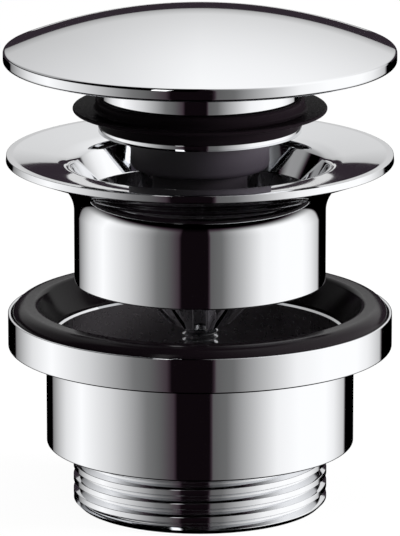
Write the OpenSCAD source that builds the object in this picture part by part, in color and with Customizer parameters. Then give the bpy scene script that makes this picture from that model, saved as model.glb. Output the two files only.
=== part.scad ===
// Pop up basin waste: push-open plug, flange and cup, tie screw and lower body with a G1 1/4 tail
// Millimetres, Z up, origin at the centre of the tail's lower end

/* [Outlet tail] */
// Outside diameter of the tail, the major diameter of a G1 1/4 thread
tail_d = 41.91; // [40:0.01:44]
// Length of the threaded tail
tail_length = 10.2; // [8:0.1:16]
// Diameter of the tail's bore
tail_bore = 36.4; // [34:0.1:37]
// Chamfer at the tail's lower end
tail_chamfer = 0.95; // [0.5:0.05:1.2]

/* [Lower body] */
// Diameter of the plain barrel
barrel_d = 50.7; // [50:0.1:54]
// Wall of the barrel
barrel_wall = 1.55; // [1.2:0.05:2]
// Height of the plain barrel
barrel_height = 16.3; // [15:0.1:22]
// Diameter of the ring that holds the gasket
ring_d = 63.2; // [61:0.1:68]
// Height of the gasket ring
ring_height = 5.8; // [5:0.1:8]
// Thickness of the ring's floor under the gasket
ring_floor = 2.1; // [1.5:0.1:3]
// Wall of the ring's lip round the gasket
ring_lip = 0.55; // [0.4:0.05:1.2]
// Chamfer of the ledge inside the gasket
ledge = 0.3; // [0.2:0.05:0.8]
// Height of the plain bore above the tail
bore_step = 1.2; // [0.8:0.1:2]
// Diameter of the hub that holds the nut
body_hub_d = 14.4; // [14:0.1:16]
// Height of that hub
body_hub_h = 9.1; // [8:0.1:12]
// Height of the hub's lower face above the tail
body_hub_lift = 0.7; // [0.5:0.1:1]
// Height of the arms' lower side above the hub's lower face
arm_lift = 1.1; // [0.8:0.1:2]
// Depth of the arms' upper side below the hub's upper face
arm_drop = 0.5; // [0.3:0.1:1]

/* [Gasket] */
// Height of the gasket above the ring
gasket_proud = 1.5; // [0.8:0.1:2]
// Width of the gasket's crown
gasket_crown = 3.6; // [3:0.1:4.5]
// Radius of the crown's outer edge
gasket_edge = 2.2; // [1:0.1:2.5]
// Radius of the crown's inner shoulder
gasket_shoulder = 1; // [0.6:0.1:1.4]
// Height of the gasket's inner foot
gasket_foot = 0.6; // [0.4:0.1:1]

/* [Flange and cup] */
// Diameter of the flange
flange_d = 63.5; // [62:0.1:70]
// Thickness of the flange's rim
flange_rim = 1.15; // [1:0.05:1.6]
// Radius of the rim's upper and lower edges
rim_round = 0.35; // [0.2:0.05:0.45]
// Width of the flat land on the rim
rim_land = 1.2; // [0.8:0.1:2]
// Radius of the blend between the land and the dish
land_blend = 3; // [2:0.5:5]
// Fall of the dished flange from its rim to the funnel
dish_depth = 1.2; // [1:0.025:1.6]
// Radius of the dish, which bulges up a little
dish_r = 138; // [100:1:200]
// Outside diameter of the cup
cup_d = 41.3; // [40.5:0.1:43]
// Wall of the cup
cup_wall = 1.95; // [1.6:0.05:2.4]
// Height from the cup's lower edge to the flange's upper edge
cup_height = 21.4; // [21:0.1:26]
// Open height between the gasket and the cup
cup_gap = 3.7; // [3.5:0.1:8]
// Radius of the flare under the flange
flare_r = 6; // [5:0.1:7.5]
// Slope of the flange's underside in degrees
under_slope = 22; // [16:1:26]
// Depth from the flange's upper edge to the top of the flare
flare_drop = 3.5; // [3.2:0.1:4]
// Width of the funnel that the seal closes on
funnel_w = 2.3; // [2:0.1:3]
// Slope of the funnel's wall in degrees
funnel_slope = 70; // [60:1:72]
// Radius of the funnel's upper edge
funnel_edge = 1.2; // [0.5:0.1:1.5]
// Thickness of the cup's webs and of the body's arms
web = 2.6; // [2:0.1:3.2]
// Diameter of the cup's hub
hub_d = 15.8; // [15.4:0.1:17]
// Height of the cup's hub
hub_h = 15.3; // [15:0.1:17]
// Half width of the webs at the hub's tip
web_tip = 4.6; // [4:0.1:5.5]
// Rise of the webs from the hub's face to the cup's wall
web_rise = 5.4; // [4:0.1:6]
// Height of the webs' step beside the hub's face
web_step = 1.2; // [0.8:0.1:2]
// Room between the sleeve's foot and the webs
sleeve_room = 0.95; // [0.8:0.05:1.2]

/* [Plug] */
// Diameter of the cap
cap_d = 64.2; // [62:0.1:70]
// Radius of the cap's dome
dome_r = 85; // [75:1:110]
// Thickness of the cap
cap_wall = 2; // [1.6:0.1:2.6]
// Height of the cap's upright rim
rim_h = 2.1; // [1.8:0.05:3]
// Wall of the cap's rim
rim_wall = 1.7; // [1.4:0.1:2.4]
// Radius of the edge between the rim and the dome
rim_edge = 0.6; // [0.4:0.05:0.8]
// Metal over the tapped hole in the cap
cap_roof = 1.6; // [1.4:0.1:1.8]
// Way that the plug travels from open to shut
travel = 8.7; // [7:0.1:9.2]
// Diameter of the collar
collar_d = 32.7; // [31:0.1:33.2]
// Height of the collar that shows between the seal and the cap
collar_show = 5.65; // [5:0.05:7]
// Height of the collar inside the cap
collar_head = 3.55; // [3:0.05:4]
// Thickness of the collar's web over the sleeve
collar_web = 2.1; // [1.8:0.1:2.6]
// Thickness of the washer between cap and collar
cap_washer_t = 0.4; // [0.3:0.05:0.5]

/* [Seal] */
// Diameter of the ring under the seal
retainer_d = 33.3; // [32.8:0.1:34]
// Thickness of that ring
retainer_t = 1; // [0.5:0.05:1.2]
// Diameter of the groove that holds the seal
groove_d = 26.8; // [26:0.1:28]
// Height of the seal below its lip
seal_below = 2.45; // [2.2:0.05:3]
// Height of the seal above the lip's lower side
seal_above = 2.25; // [2:0.05:2.8]
// Distance that the shut lip stops inside the funnel's edge
lip_land = 0.2; // [0:0.05:0.3]
// Height at which the shut lip stops above the funnel
lip_gap = 0.3; // [0.2:0.05:0.5]
// Thickness of the lip at its edge
lip_t = 0.6; // [0.5:0.05:0.8]
// Radius under the lip
lip_fillet = 0.9; // [0.6:0.05:1.2]
// Radius of the bead round the collar
bead = 0.6; // [0.5:0.05:0.8]
// Distance that the bead stands out past the ring under the seal
bead_over = 0.45; // [0.3:0.05:0.6]

/* [Sleeve and post] */
// Outside diameter of the sleeve
sleeve_d = 22.7; // [22.2:0.1:23.4]
// Wall of the sleeve
sleeve_wall = 2.05; // [1.9:0.05:2.2]
// Length of the sleeve below the seal's ring
sleeve_show = 6; // [5.5:0.1:6.5]
// Radius of the sleeve's lower edge
sleeve_edge = 0.9; // [0.5:0.1:1.2]
// Thickness of the sleeve's roof
roof_t = 2.5; // [2:0.1:3]
// Height of the bush in the sleeve's mouth
bush_h = 4; // [3.5:0.1:5]
// Width of the wiper ring's seat in the bush
wiper_w = 0.9; // [0.8:0.05:1]
// Height of that seat
wiper_seat = 1.3; // [1.1:0.05:1.6]
// Diameter of the guide post
post_d = 15.5; // [15.4:0.1:16]
// Thickness of the post's floor under the spring
post_floor = 0.5; // [0.4:0.05:0.8]
// Height of the post above the clip
post_head = 1.2; // [1:0.1:1.6]
// Diameter of the post's spigot in the hub
spigot_d = 12; // [11.8:0.1:12.4]
// Length of the spigot
spigot_h = 6.6; // [6:0.1:7]
// Thickness of the lock washer under the post
lock_t = 0.5; // [0.4:0.05:0.8]
// Room under the shut sleeve, above the hub
hub_gap = 2.7; // [2.5:0.1:3.5]

/* [Latch] */
// Diameter of the plunger rod
rod_d = 10; // [9.8:0.1:10.2]
// Wall of the plunger rod
rod_wall = 1.7; // [1.5:0.05:1.8]
// Thickness of the rod's shoulder under the sleeve's roof
shoulder_h = 1.2; // [1:0.1:1.5]
// Width of that shoulder
shoulder_w = 1.5; // [1.2:0.1:1.8]
// Thickness of the rod's end over the spring
rod_roof = 0.6; // [0.4:0.05:1]
// Room under the rod in the shut position
stop_gap = 0.4; // [0.3:0.05:0.6]
// Diameter of the rod's stud in the cap
stud_d = 8; // [7:0.1:8]
// Diameter of a latch pin
pin_d = 1.6; // [1.4:0.1:1.8]
// Number of latch pins
pins = 3; // [3:1:3]
// Depth of the latch track in the rod
track_depth = 1.1; // [0.9:0.05:1.2]
// Room in the track above and below a pin
track_room = 1.76; // [1.6:0.02:2]
// Height of the latch ring
latch_h = 3.5; // [3:0.1:4]
// Wall of the latch ring with its two gaps
latch_wall = 1.9; // [1.8:0.05:2]
// Length of the rod below the latch ring in the open position
rod_below = 1.8; // [1.5:0.1:2.5]
// Thickness of the spring clip
clip_t = 0.8; // [0.6:0.05:1]
// Width of the spring clip
clip_w = 1.6; // [1.4:0.05:1.8]
// Opening of the spring clip
clip_open = 2.4; // [2:0.1:3]
// Diameter of the spring's wire
wire_d = 0.8; // [0.6:0.05:0.9]

/* [Tie screw] */
// Diameter of the tie screw
screw_d = 6; // [5.8:0.1:6]
// Diameter of the screw's head
head_d = 10; // [9.6:0.1:10]
// Height of the screw's head
head_h = 4; // [3.6:0.1:4.2]
// Width across flats of the socket
socket_flats = 4; // [3.5:0.1:5]
// Depth of the socket
socket_depth = 2.4; // [2:0.1:2.8]
// Thickness of the washer under the head
tie_washer_t = 0.6; // [0.5:0.05:0.8]
// Thickness of the hub under that washer
seat_t = 3.1; // [2.8:0.1:3.4]
// Width across flats of the nut
nut_flats = 10; // [9.8:0.1:10]
// Height of the nut
nut_h = 5; // [4.5:0.1:5.5]
// Length of the screw below the body's hub
screw_past = 0.9; // [0.5:0.1:1.5]

/* [Edges and clearances] */
// Gap of a running fit
run = 0.08; // [0.05:0.01:0.1]
// Gap of a loose fit
clear = 0.35; // [0.3:0.01:0.4]
// Gap of a close fit
fit = 0.05; // [0.02:0.01:0.1]
// Gap between a fixed stud or tube and its hole
slip = 0.1; // [0.06:0.01:0.15]
// Small edge break
edge = 0.3; // [0.2:0.05:0.4]

/* [Hidden] */
$fn = 96;

tail_r = tail_d / 2;
bore_low = tail_bore / 2;
barrel_r = barrel_d / 2;
barrel_in = barrel_r - barrel_wall;
ring_r = ring_d / 2;
z_barrel = tail_length;
z_ring = z_barrel + barrel_height;
z_ring_top = z_ring + ring_height;
z_floor = z_ring + ring_floor;
gasket_r = ring_r - ring_lip - slip;
z_gasket = z_ring_top + gasket_proud;

cup_r = cup_d / 2;
cup_in = cup_r - cup_wall;
flange_r = flange_d / 2;
z_cup = z_gasket + cup_gap;
z_flange = z_cup + cup_height;
z_edge = z_flange - dish_depth;
funnel_x = cup_in + funnel_w;
z_funnel = z_edge - funnel_w * tan(funnel_slope);
flare_x = cup_r + flare_r;
z_flare = z_flange - flare_drop - flare_r;

lip_r = funnel_x - lip_land;
z_seat = z_edge - lip_land * tan(funnel_slope);
z_lip = z_seat + travel + lip_gap;
z_groove = z_lip - seal_below;
z_retainer = z_groove - retainer_t;
z_collar = z_lip + seal_above;
z_rim = z_collar + collar_show;
z_web_top = z_rim + collar_head;
z_washer = z_web_top + cap_washer_t;
cap_r = cap_d / 2;
z_corner = z_rim + rim_h;
z_dome = z_corner - sqrt(pow(dome_r, 2) - pow(cap_r, 2));
z_apex = z_dome + dome_r;
z_stud = z_apex - cap_roof - slip;
collar_r = collar_d / 2;
retainer_r = retainer_d / 2;
groove_r = groove_d / 2;

sleeve_r = sleeve_d / 2;
sleeve_in = sleeve_r - sleeve_wall;
z_sleeve = z_retainer - sleeve_show;
z_bush = z_sleeve + edge + slip;
z_roof_top = z_web_top - collar_web;
z_roof = z_roof_top - roof_t;
post_r = post_d / 2;
rod_r = rod_d / 2;
rod_in = rod_r - rod_wall;
stud_r = stud_d / 2;
z_shoulder = z_roof - shoulder_h;

hub_r = hub_d / 2;
z_hub = z_sleeve - travel - hub_gap;
z_post = z_hub + lock_t;
spigot_r = spigot_d / 2;
z_spigot = z_hub - spigot_h;
post_bore = rod_r + clear;
post_wide = rod_r + latch_wall;
z_bore = z_post + post_floor;
z_rod = z_bore + travel + stop_gap;
z_latch = z_rod + rod_below;
z_pin = z_latch + latch_h / 2;
z_clip = z_latch + latch_h + slip + fit;
z_post_top = z_clip + clip_t + post_head;
track_floor = rod_r - track_depth;
track_half = pin_d / 2 + track_room;
z_spring_top = z_roof - rod_roof;

screw_r = screw_d / 2;
screw_hole = screw_r + clear - fit;
head_r = head_d / 2;
pocket_r = head_r + clear + fit;
z_tip = z_hub - hub_h;
z_seat_low = z_tip + seat_t;
z_head = z_seat_low + tie_washer_t;
z_body_hub = z_barrel + body_hub_lift;
z_body_hub_top = z_body_hub + body_hub_h;
z_screw_end = z_body_hub - screw_past;

function arc(cx, cy, r, a, b, n) =
    [for (i = [0:n]) [cx + r * cos(a + (b - a) * i / n), cy + r * sin(a + (b - a) * i / n)]];

// Rounded corner at a point between two faces whose outward normals point along a and b
function corner(x, y, r, a, b, n = 4) =
    let (k = r / (1 + cos(b - a)))
    arc(x - k * (cos(a) + cos(b)), y - k * (sin(a) + sin(b)), r, a, b, n);

module turned(points) {
    rotate_extrude() polygon(points);
}

module tube(r_in, r_out, z, h) {
    turned([[r_in, z], [r_out, z], [r_out, z + h], [r_in, z + h]]);
}

// Upright cylinder between two heights
module drum(r, z, top) {
    translate([0, 0, z]) cylinder(h = top - z, r = r);
}

module hexagon(flats, z, h) {
    translate([0, 0, z]) cylinder(h = h, d = flats / cos(30), $fn = 6);
}

// Two crossed upright plates with one outline
module crossed(points) {
    for (a = [0, 90])
        rotate([90, 0, a])
            translate([0, 0, -web / 2])
                linear_extrude(web) polygon(points);
}

// Domed chrome cap with an upright rim, a flat boss and a tapped hole for the rod's stud
module plug_cap() {
    shoulder = corner(cap_r, z_corner, rim_edge, 0, acos(cap_r / dome_r), 5);
    rim_end = shoulder[len(shoulder) - 1];
    color([0.86, 0.87, 0.88])
    difference() {
        intersection() {
            translate([0, 0, z_dome]) sphere(dome_r);
            turned(concat(
                [[0, z_rim]],
                corner(cap_r, z_rim, rim_edge, -90, 0),
                shoulder,
                [[rim_end[0], z_apex + 1], [0, z_apex + 1]]));
        }
        difference() {
            intersection() {
                translate([0, 0, z_dome]) sphere(dome_r - cap_wall);
                drum(cap_r - rim_wall, z_rim - 1, z_apex);
            }
            drum(collar_r - edge, z_washer, z_apex);
        }
        drum(stud_r + fit, z_washer - 1, z_apex - cap_roof);
    }
}

// Thin washer between the cap's boss and the collar
module cap_washer() {
    color([0.55, 0.3, 0.2])
    tube(stud_r + slip, groove_r, z_web_top, cap_washer_t);
}

// Chrome collar with the seal's groove and the thin ring under the seal
module seal_carrier() {
    color([0.84, 0.85, 0.87])
    turned(concat(
        [[sleeve_r + slip, z_retainer]],
        corner(retainer_r, z_retainer, edge, -90, 0),
        corner(retainer_r, z_groove, edge / 2, 0, 90),
        [[groove_r, z_groove], [groove_r, z_collar]],
        corner(collar_r, z_collar, edge, -90, 0),
        corner(collar_r, z_web_top, edge, 0, 90),
        [[stud_r + slip, z_web_top], [stud_r + slip, z_roof_top], [sleeve_r + slip, z_roof_top]]));
}

// Black rubber seal with a thin dished lip and a bead round the collar
module lip_seal() {
    bead_out = retainer_r + bead_over;
    half = lip_t / 2;
    color([0.06, 0.06, 0.07])
    turned(concat(
        [[groove_r + fit, z_groove]],
        corner(retainer_r, z_groove, edge / 2, -90, 0),
        arc(retainer_r + lip_fillet, z_lip - lip_fillet - 2 * slip, lip_fillet, 180, 115, 4),
        arc(lip_r - half, z_lip + half, half, -60, 90, 6),
        arc(bead_out + bead, z_lip + half + bead, bead, 270, 180, 4),
        corner(bead_out, z_collar, bead, 0, 90, 5),
        [[groove_r + fit, z_collar]]));
}

// Dark plastic sleeve, closed at the top under the collar's web
module plunger_sleeve() {
    color([0.2, 0.2, 0.21])
    turned(concat(
        [[sleeve_in, z_sleeve + edge], [sleeve_in + edge, z_sleeve]],
        corner(sleeve_r, z_sleeve, sleeve_edge, -90, 0, 6),
        [[sleeve_r, z_roof_top], [stud_r + slip, z_roof_top],
         [stud_r + slip, z_roof], [sleeve_in, z_roof]]));
}

// Bearing bush in the sleeve's mouth, with a seat for the wiper ring
module sleeve_bush() {
    seat_r = post_r + wiper_w;
    color([0.88, 0.87, 0.82])
    turned([
        [seat_r, z_bush], [sleeve_in - fit / 2, z_bush],
        [sleeve_in - fit / 2, z_bush + bush_h], [post_r + run, z_bush + bush_h],
        [post_r + run, z_bush + wiper_seat], [seat_r, z_bush + wiper_seat]]);
}

// Rubber wiper ring around the post
module wiper_ring() {
    low = z_bush + slip;
    high = z_bush + wiper_seat - fit;
    out = post_r + wiper_w - fit;
    color([0.08, 0.08, 0.08])
    turned([
        [post_r + run, (low + high) / 2], [post_r + clear, low],
        [out, low], [out, high], [post_r + clear, high]]);
}

// Closed zig-zag band around the rod: a leg rises through half of a pin's share of the turn
function share(t) = abs((t * pins / 180 + 1) % 2 - 1);

module track_band() {
    n = 72;
    mid = [for (i = [0:n - 1]) z_pin + travel * share(i * 360 / n)];
    band = [for (i = [0:n - 1], c = [[0, -1], [1, -1], [1, 1], [0, 1]])
        let (r = c[0] == 0 ? track_floor : rod_r + track_depth)
        [r * cos(i * 360 / n), r * sin(i * 360 / n), mid[i] + c[1] * track_half]];
    sides = [for (i = [0:n - 1], k = [0:3])
        let (a = 4 * i + k, b = 4 * i + (k + 1) % 4,
             c = 4 * ((i + 1) % n) + (k + 1) % 4, d = 4 * ((i + 1) % n) + k)
        each [[a, b, c], [a, c, d]]];
    polyhedron(band, sides);
}

// Hollow plunger rod with the latch track, a shoulder and the stud for the cap
module plunger_rod() {
    color([0.78, 0.66, 0.38])
    difference() {
        turned([
            [rod_in, z_rod], [rod_r - edge, z_rod], [rod_r, z_rod + edge],
            [rod_r, z_shoulder], [rod_r + shoulder_w, z_shoulder],
            [rod_r + shoulder_w, z_roof], [stud_r, z_roof],
            [stud_r, z_stud - edge], [stud_r - edge, z_stud],
            [0, z_stud], [0, z_spring_top], [rod_in, z_spring_top]]);
        track_band();
    }
}

// Ring that turns in the post's top and carries the pins
module latch_ring() {
    color([0.7, 0.71, 0.72])
    difference() {
        tube(rod_r + clear, post_wide - run, z_latch + fit, latch_h - fit);
        for (i = [0:pins - 1])
            rotate([0, 90, i * 360 / pins])
                translate([-z_pin, 0, 0]) cylinder(h = post_wide + 1, d = pin_d + fit / 2);
    }
}

// Pins that reach from the ring into the rod's track
module latch_pins() {
    start = track_floor + clear;
    color([0.6, 0.61, 0.63])
    for (i = [0:pins - 1])
        rotate([0, 0, i * 360 / pins])
            translate([start, 0, z_pin])
                rotate([0, 90, 0])
                    cylinder(h = post_wide - edge - start, d = pin_d);
}

// Spring clip over the latch ring, open at one side
module latch_clip() {
    clip_r = post_wide + edge;
    color([0.62, 0.63, 0.65])
    difference() {
        tube(clip_r - clip_w, clip_r, z_clip, clip_t);
        translate([0, -clip_open / 2, z_clip - clip_t]) cube([clip_r + 1, clip_open, 3 * clip_t]);
    }
}

// Smooth post on the cup's hub, bored for the rod and the spring, with a groove for the clip
module guide_post() {
    groove = post_wide + edge + fit;
    color([0.14, 0.14, 0.15])
    turned([
        [0, z_spigot], [spigot_r - 2 * edge, z_spigot], [spigot_r, z_spigot + 2 * edge],
        [spigot_r, z_post], [post_r, z_post],
        [post_r, z_post_top - edge], [post_r - edge, z_post_top],
        [post_wide, z_post_top], [post_wide, z_clip + clip_t + fit],
        [groove, z_clip + clip_t + fit], [groove, z_clip - fit],
        [post_wide, z_clip - fit], [post_wide, z_latch],
        [post_bore, z_latch], [post_bore, z_bore], [0, z_bore]]);
}

// Lock washer under the post's shoulder
module post_lock_ring() {
    color([0.6, 0.6, 0.58])
    tube(spigot_r + slip, post_r - slip - fit, z_hub, lock_t);
}

// Compression spring with closed end coils
module return_spring() {
    wire = wire_d / 2;
    r = rod_in - clear - wire;
    turns = 10;
    steps = 14;
    sides = 8;
    n = turns * steps;
    tall = z_spring_top - z_bore - wire_d;
    coil = wire_d + fit;
    pitch = (tall - 2 * coil) / (turns - 2);
    color([0.7, 0.72, 0.74])
    polyhedron(
        [for (i = [0:n], k = [0:sides - 1])
            let (t = i / steps,
                 up = t < 1 ? t * coil
                     : t > turns - 1 ? tall - (turns - t) * coil
                     : coil + (t - 1) * pitch,
                 q = r + wire * cos(k * 360 / sides))
            [q * cos(t * 360), q * sin(t * 360),
             z_bore + wire + up + wire * sin(k * 360 / sides)]],
        concat(
            [[for (k = [0:sides - 1]) k]],
            [[for (k = [sides - 1:-1:0]) n * sides + k]],
            [for (i = [0:n - 1], k = [0:sides - 1])
                let (a = i * sides + k, b = i * sides + (k + 1) % sides)
                each [[a, a + sides, b + sides], [a, b + sides, b]]]));
}

// Turned flange and cup: straight outside, flare, round rim, shallow dish and steep funnel
module flange_bell() {
    land_x = flange_r - rim_land;
    chord = [land_x - funnel_x, dish_depth];
    fall = atan2(chord[1], chord[0]);
    bow = asin(norm(chord) / 2 / dish_r);
    inner = fall + bow;
    outer = fall - bow;
    trim = asin(funnel_edge / dish_r);
    dish_x = funnel_x + dish_r * sin(inner);
    z_dish = z_edge - dish_r * cos(inner);
    z_under = z_flange - flange_rim;
    turned(concat(
        [[cup_in + edge, z_cup]],
        corner(cup_r, z_cup, edge, -90, 0),
        arc(flare_x, z_flare, flare_r, 180, 90 + under_slope, 10),
        corner(flange_r, z_under, rim_round, under_slope - 90, 0),
        corner(flange_r, z_flange, rim_round, 0, 90),
        corner(land_x, z_flange, land_blend, 90, 90 + outer),
        arc(dish_x, z_dish, dish_r, 90 + outer + trim / 2, 90 + inner - trim, 6),
        corner(funnel_x, z_edge, funnel_edge, 90 + inner, 90 + funnel_slope),
        [[cup_in, z_funnel], [cup_in, z_cup + edge]]));
}

// Chrome flange and cup with four sloping webs and the centre hub
module flange_cup() {
    wall_x = cup_in + 2 * edge;
    z_wall = z_tip + wall_x - web_tip;
    room = sleeve_r + sleeve_room;
    tip_r = screw_hole + edge;
    color([0.83, 0.84, 0.86])
    difference() {
        union() {
            flange_bell();
            crossed([
                [-wall_x, z_wall], [-web_tip, z_tip], [web_tip, z_tip], [wall_x, z_wall],
                [wall_x, z_hub + web_rise], [room - slip, z_hub + web_step],
                [slip - room, z_hub + web_step], [-wall_x, z_hub + web_rise]]);
            turned([
                [0, z_tip], [tip_r, z_tip], [hub_r, z_tip + hub_r - tip_r],
                [hub_r, z_hub], [0, z_hub]]);
        }
        drum(screw_hole, z_tip - 1, z_hub);
        drum(pocket_r, z_seat_low, z_hub);
        drum(spigot_r + fit, z_spigot - 2 * slip, z_hub + 1);
        drum(room, z_hub, z_flange);
    }
}

// Washer under the tie screw's head
module tie_washer() {
    color([0.72, 0.73, 0.75])
    tube(screw_hole, pocket_r - 2 * slip, z_seat_low, tie_washer_t);
}

// Tie screw with a socket head that turns in the cup's hub
module tie_screw() {
    z_top = z_head + head_h;
    color([0.74, 0.75, 0.77])
    difference() {
        turned([
            [0, z_screw_end], [screw_r - 2 * edge, z_screw_end], [screw_r, z_screw_end + 2 * edge],
            [screw_r, z_head], [head_r, z_head], [head_r, z_top - edge],
            [head_r - edge, z_top], [0, z_top]]);
        hexagon(socket_flats, z_top - socket_depth, head_h);
    }
}

// Hexagon nut held in the body's hub
module tie_nut() {
    color([0.76, 0.66, 0.4])
    difference() {
        hexagon(nut_flats, z_body_hub + edge, nut_h);
        drum(screw_r + fit, z_body_hub, z_body_hub_top);
    }
}

// Chrome lower body: gasket ring, barrel, tail, and a cross with the nut's hub
module waste_body() {
    z_arm = z_body_hub + arm_lift;
    z_arm_top = z_body_hub_top - arm_drop;
    arm_x = barrel_in + edge;
    lip_in = ring_r - ring_lip;
    color([0.82, 0.83, 0.85])
    difference() {
        union() {
            turned(concat(
                [[bore_low, 0], [tail_r - tail_chamfer, 0], [tail_r, tail_chamfer], [tail_r, z_barrel]],
                corner(barrel_r, z_barrel, edge, -90, 0),
                [[barrel_r, z_ring]],
                corner(ring_r, z_ring, edge, -90, 0),
                corner(ring_r, z_ring_top, edge, 0, 90),
                corner(lip_in, z_ring_top, edge / 2, 90, 180),
                [[lip_in, z_floor], [barrel_in + ledge, z_floor], [barrel_in, z_floor - ledge],
                 [barrel_in, z_barrel + bore_step + barrel_in - bore_low],
                 [bore_low, z_barrel + bore_step]]));
            crossed([
                [-arm_x, z_arm], [arm_x, z_arm], [arm_x, z_arm_top], [-arm_x, z_arm_top]]);
            drum(body_hub_d / 2, z_body_hub, z_body_hub_top);
        }
        drum(screw_hole, z_body_hub - 1, z_body_hub_top + 1);
        hexagon(nut_flats + slip, z_body_hub - 1, nut_h + edge + slip + 1);
    }
}

// Black gasket ring with a rounded crown and a sloping inside
module body_gasket() {
    foot = barrel_in + ledge + fit;
    color([0.05, 0.05, 0.05])
    turned(concat(
        [[foot, z_floor], [gasket_r, z_floor]],
        corner(gasket_r, z_gasket, gasket_edge, 0, 90, 8),
        arc(gasket_r - gasket_crown, z_gasket - gasket_shoulder, gasket_shoulder, 90, 160, 5),
        [[foot, z_floor + gasket_foot]]));
}

plug_cap();
cap_washer();
seal_carrier();
lip_seal();
plunger_sleeve();
sleeve_bush();
wiper_ring();
plunger_rod();
latch_ring();
latch_pins();
latch_clip();
guide_post();
post_lock_ring();
return_spring();
flange_cup();
tie_washer();
tie_screw();
tie_nut();
waste_body();
body_gasket();
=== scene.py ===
# %% [markdown]
# # Dressing a pop up basin waste
# The real object is a chrome plated drain fitting. A domed plug stands open over a flange and cup,
# and a long screw ties the cup to a lower body with a rubber gasket and a threaded tail.
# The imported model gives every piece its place, so this lesson starts by loading it and keeping its box.

# %% Load the frame
import math

import bpy
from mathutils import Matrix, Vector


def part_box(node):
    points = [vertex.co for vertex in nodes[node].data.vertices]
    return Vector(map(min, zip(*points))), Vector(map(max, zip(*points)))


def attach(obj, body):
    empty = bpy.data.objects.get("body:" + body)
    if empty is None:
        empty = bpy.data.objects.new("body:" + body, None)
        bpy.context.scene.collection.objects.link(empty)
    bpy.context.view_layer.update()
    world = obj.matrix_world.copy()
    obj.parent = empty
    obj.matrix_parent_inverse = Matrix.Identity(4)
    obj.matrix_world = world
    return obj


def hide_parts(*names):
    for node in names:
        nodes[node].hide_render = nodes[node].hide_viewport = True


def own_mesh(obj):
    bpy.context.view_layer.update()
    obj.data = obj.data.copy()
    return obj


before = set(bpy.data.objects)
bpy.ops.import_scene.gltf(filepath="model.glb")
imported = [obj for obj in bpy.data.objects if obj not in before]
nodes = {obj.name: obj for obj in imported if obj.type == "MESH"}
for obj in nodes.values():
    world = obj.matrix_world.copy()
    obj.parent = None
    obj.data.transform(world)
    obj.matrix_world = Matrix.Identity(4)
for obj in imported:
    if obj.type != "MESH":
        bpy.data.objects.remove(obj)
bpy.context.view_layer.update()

# %% [markdown]
# Nearly every piece is turned on a lathe, so three numbers place it: its radius, its lowest point and
# its highest point. They are read from the frame in millimetres, which are easier to think in than
# metres. Sizes that the boxes don't show are named where they are first used.

# %% Read sizes from the frame
MM = 0.001


def reach(node):
    """Radius, bottom and top of a node, in millimetres."""
    low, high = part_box(node)
    return high.x / MM, low.z / MM, high.z / MM


cap_r, cap_bottom, cap_top = reach("plug_cap")
retainer_r, carrier_bottom, carrier_top = reach("seal_carrier")
lip_r, seal_bottom, seal_top = reach("lip_seal")
sleeve_r, _, sleeve_top = reach("plunger_sleeve")
_, spigot_bottom, _ = reach("guide_post")
flange_r, hub_tip, flange_top = reach("flange_cup")
head_r, screw_bottom, head_top = reach("tie_screw")
ring_r, tail_bottom, ring_top = reach("waste_body")
gasket_r, gasket_bottom, gasket_top = reach("body_gasket")
spring_r, spring_bottom, spring_top = reach("return_spring")
print("overall height", round(cap_top - tail_bottom, 2), "mm")

# %% [markdown]
# A lathe shape is an outline spun round an axis. The outline is drawn as a chain of vertices, one by one:
# a plane is merged to one vertex, and each extrusion adds the next point. Round stretches come from an
# arc function, so the outline only needs its centres and radii. After the spin the seam is merged and
# the normals are turned outwards.

# %% Turning tools
TURN_STEPS = 192
ARC_STEP = 6
SEAM = 0.0005 * MM


def arc(x, z, radius, start, end, step=ARC_STEP):
    """Points of an arc round (x, z), in degrees."""
    count = max(2, math.ceil(abs(end - start) / step))
    turns = [math.radians(start + (end - start) * i / count) for i in range(count + 1)]
    return [(x + radius * math.cos(t), z + radius * math.sin(t)) for t in turns]


def corner(x, z, radius, start, end, step=15):
    """Rounded corner at (x, z) between two faces whose outward normals point along start and end."""
    first, last = math.radians(start), math.radians(end)
    inset = radius / (1 + math.cos(last - first))
    centre_x = x - inset * (math.cos(first) + math.cos(last))
    centre_z = z - inset * (math.sin(first) + math.sin(last))
    return arc(centre_x, centre_z, radius, start, end, step)


def draw(name, outline):
    """Draws an outline of (radius, height) points in the XZ plane and stays in edit mode."""
    bpy.ops.object.select_all(action="DESELECT")
    bpy.ops.mesh.primitive_plane_add(size=MM)
    piece = bpy.context.object
    piece.name = name
    piece.data.name = name
    bpy.ops.object.mode_set(mode="EDIT")
    bpy.ops.mesh.select_mode(type="VERT")
    bpy.ops.mesh.merge(type="CENTER")
    x, z = outline[0]
    bpy.ops.transform.translate(value=(x * MM, 0, z * MM))
    for (x, z), (next_x, next_z) in zip(outline, outline[1:]):
        step = ((next_x - x) * MM, 0, (next_z - z) * MM)
        bpy.ops.mesh.extrude_vertices_move(TRANSFORM_OT_translate={"value": step})
    return piece


def clean():
    """Merges doubles and turns every face outwards, in edit mode."""
    bpy.ops.mesh.select_all(action="SELECT")
    bpy.ops.mesh.remove_doubles(threshold=SEAM)
    bpy.ops.mesh.normals_make_consistent(inside=False)


def turn(name, outline, closed=True):
    """A lathe piece: a closed outline beside the axis, or an open one that starts and ends on it."""
    piece = draw(name, [*outline, outline[0]] if closed else outline)
    bpy.ops.mesh.select_all(action="SELECT")
    bpy.ops.mesh.remove_doubles(threshold=SEAM)
    bpy.ops.mesh.spin(steps=TURN_STEPS, angle=2 * math.pi, center=(0, 0, 0), axis=(0, 0, 1))
    clean()
    bpy.ops.object.mode_set(mode="OBJECT")
    return piece


def apply_modifier(piece, kind, **settings):
    """Adds one modifier, sets it and applies it."""
    bpy.context.view_layer.objects.active = piece
    modifier = piece.modifiers.new(kind.title(), kind)
    for key, value in settings.items():
        setattr(modifier, key, value)
    bpy.ops.object.modifier_apply(modifier=modifier.name)


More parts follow.
